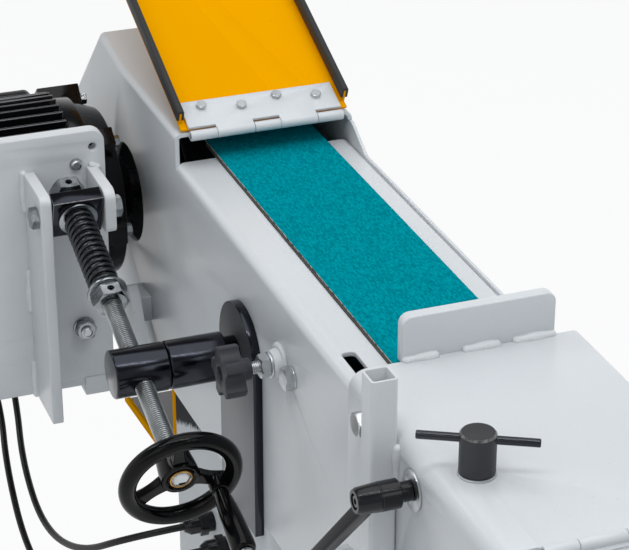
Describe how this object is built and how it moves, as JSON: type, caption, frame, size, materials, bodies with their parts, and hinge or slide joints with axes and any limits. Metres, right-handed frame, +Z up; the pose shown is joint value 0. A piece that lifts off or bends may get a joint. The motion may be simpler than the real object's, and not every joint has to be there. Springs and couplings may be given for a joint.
{
  "type": "belt and pipe grinder",
  "caption": "Floor-standing belt grinder on a column with a hinged yellow belt cover, tilting motor with spring-loaded tension spindle and handwheel, stop plate and clamps.",
  "frame": {"origin": "on the floor, at the middle of the base plate's underside", "axes": "+Z up, +X toward the access door (the motor is on -X), -Y toward the contact roller and the operator"},
  "size_m": [0.622, 1.041, 1.1277],
  "materials": {
    "grey_paint": "light grey enamel, satin",
    "yellow_paint": "signal yellow enamel, gloss",
    "zinc": "zinc plated, satin",
    "bright_steel": "turned steel",
    "motor_black": "black paint, semi-gloss",
    "black_steel": "black oxide",
    "black_plastic": "moulded, fine grain",
    "grey_plastic": "moulded, fine grain",
    "rubber_black": "matte",
    "abrasive": "teal zirconia grain on cloth",
    "graphite_pad": "graphite coated canvas",
    "wheel_rubber": "vulcanised"
  },
  "bodies": {
    "frame": {"base_plate": "grey_paint", "column": "grey_paint", "left_wall": "grey_paint", "platform": "grey_paint", "rear_hood": "grey_paint", "bottom_tray": "grey_paint", "front_hood": "grey_paint", "stop_plate": "grey_paint", "square_tube": "grey_paint", "bracket_plate": "black_steel", "support_bar": "black_steel", "pivot_shaft": "bright_steel", "pivot_gusset": "grey_paint", "lower_guard": "yellow_paint", "platen_pad": "graphite_pad", "roller_arm": "grey_paint", "roller_axle": "bright_steel", "grinding_belt": "abrasive", "tracking_boss": "grey_paint", "wall_fasteners": "zinc", "column_glands": "black_plastic", "cable_upper": "rubber_black", "cable_lower": "rubber_black", "cover_hinge_leaf": "grey_paint", "door_hinge_leaves": "grey_paint", "hinge_pins": "bright_steel"},
    "cover": {"belt_cover": "yellow_paint", "cover_trim": "rubber_black", "cover_leaf": "grey_paint", "cover_bolts": "zinc"},
    "door": {"access_door": "grey_paint", "door_leaves": "grey_paint", "door_handle": "black_plastic"},
    "flap": {"front_flap": "grey_paint"},
    "motor_carrier": {"motor_plate": "grey_paint", "plate_weldments": "grey_paint", "motor_body": "motor_black", "end_shield": "motor_black", "terminal_box": "motor_black", "fan_cowl": "motor_black", "carrier_fasteners": "zinc", "motor_glands": "black_plastic"},
    "drive": {"motor_shaft": "bright_steel", "drive_wheel": "wheel_rubber"},
    "roller": {"contact_roller": "bright_steel", "roller_bearings": "bright_steel"},
    "nut": {"spindle_nut": "black_steel"},
    "slide": {"tension_spring": "black_steel", "spring_washers": "zinc"},
    "spindle": {"tension_spindle": "zinc", "spindle_collars": "zinc", "handwheel": "black_plastic", "grip_axle": "zinc"},
    "grip": {"handle_grip": "black_plastic"},
    "block": {"trunnion_block": "black_steel"},
    "knob": {"tracking_knob": "grey_plastic", "tracking_stud": "zinc"},
    "lever": {"clamp_lever": "black_plastic"},
    "clamp": {"clamp_screw": "black_steel", "clamp_bar": "black_steel"}
  },
  "joints": [
    {"name": "cover_hinge", "type": "hinge", "parent": "frame", "child": "cover", "pos_m": [0, 0.0965, 0.9635], "axis": [1, 0, 0], "range_deg": [0, 157.5]},
    {"name": "door_hinge", "type": "hinge", "parent": "frame", "child": "door", "pos_m": [0.0865, 0.4395, 0.8175], "axis": [0, 0, 1], "range_deg": [0, 110]},
    {"name": "flap_hinge", "type": "hinge", "parent": "frame", "child": "flap", "pos_m": [0.0175, -0.564, 0.945], "axis": [1, 0, 0], "range_deg": [-100, 0]},
    {"name": "clamp_turn", "type": "hinge", "parent": "frame", "child": "clamp", "pos_m": [-0.053, -0.465, 0.96], "axis": [0, 0, 1], "range_deg": [-180, 180]},
    {"name": "lever_turn", "type": "hinge", "parent": "frame", "child": "lever", "pos_m": [-0.1, -0.428, 0.918], "axis": [1, 0, 0], "range_deg": [-60, 60]},
    {"name": "tracking_turn", "type": "hinge", "parent": "frame", "child": "knob", "pos_m": [-0.12, -0.166, 0.88], "axis": [1, 0, 0], "range_deg": [-360, 360]},
    {"name": "motor_tilt", "type": "hinge", "parent": "frame", "child": "motor_carrier", "pos_m": [-0.13, 0.157, 0.707], "axis": [1, 0, 0], "range_deg": [-2.23, 3.34], "deforming": ["grinding_belt", "cable_upper", "cable_lower"]},
    {"name": "drive_spin", "type": "hinge", "parent": "motor_carrier", "child": "drive", "pos_m": [0, 0.262, 0.8487], "axis": [1, 0, 0], "continuous": true},
    {"name": "roller_spin", "type": "hinge", "parent": "frame", "child": "roller", "pos_m": [0.006, -0.54965, 0.9137], "axis": [1, 0, 0], "continuous": true},
    {"name": "nut_pivot", "type": "hinge", "parent": "frame", "child": "nut", "pos_m": [-0.1728, -0.077, 0.8445], "axis": [1, 0, 0], "range_deg": [-0.14, 0.21]},
    {"name": "spindle_slide", "type": "slide", "parent": "nut", "child": "slide", "axis": [0, 0.9463, 0.3233], "range_m": [-0.0121, 0.0081]},
    {"name": "handwheel_spin", "type": "hinge", "parent": "slide", "child": "spindle", "pos_m": [-0.1728, 0.103, 0.906], "axis": [0, 0.9463, 0.3233], "range_deg": [-2160, 1440]},
    {"name": "grip_spin", "type": "hinge", "parent": "spindle", "child": "grip", "pos_m": [-0.14199, -0.21409, 0.78248], "axis": [0, 0.9463, 0.3233], "continuous": true},
    {"name": "block_pivot", "type": "hinge", "parent": "motor_carrier", "child": "block", "pos_m": [-0.1728, 0.103, 0.906], "axis": [1, 0, 0], "range_deg": [-3.15, 2.1]}
  ],
  "couplings": [
    {"joint": "nut_pivot", "follows": "motor_tilt", "ratio": 0.0603},
    {"joint": "spindle_slide", "follows": "motor_tilt", "m_per_rad": -0.2055},
    {"joint": "handwheel_spin", "follows": "motor_tilt", "ratio": -645.6},
    {"joint": "block_pivot", "follows": "motor_tilt", "ratio": -0.9397},
    {"joint": "roller_spin", "follows": "drive_spin", "ratio": 3.5194}
  ]
}
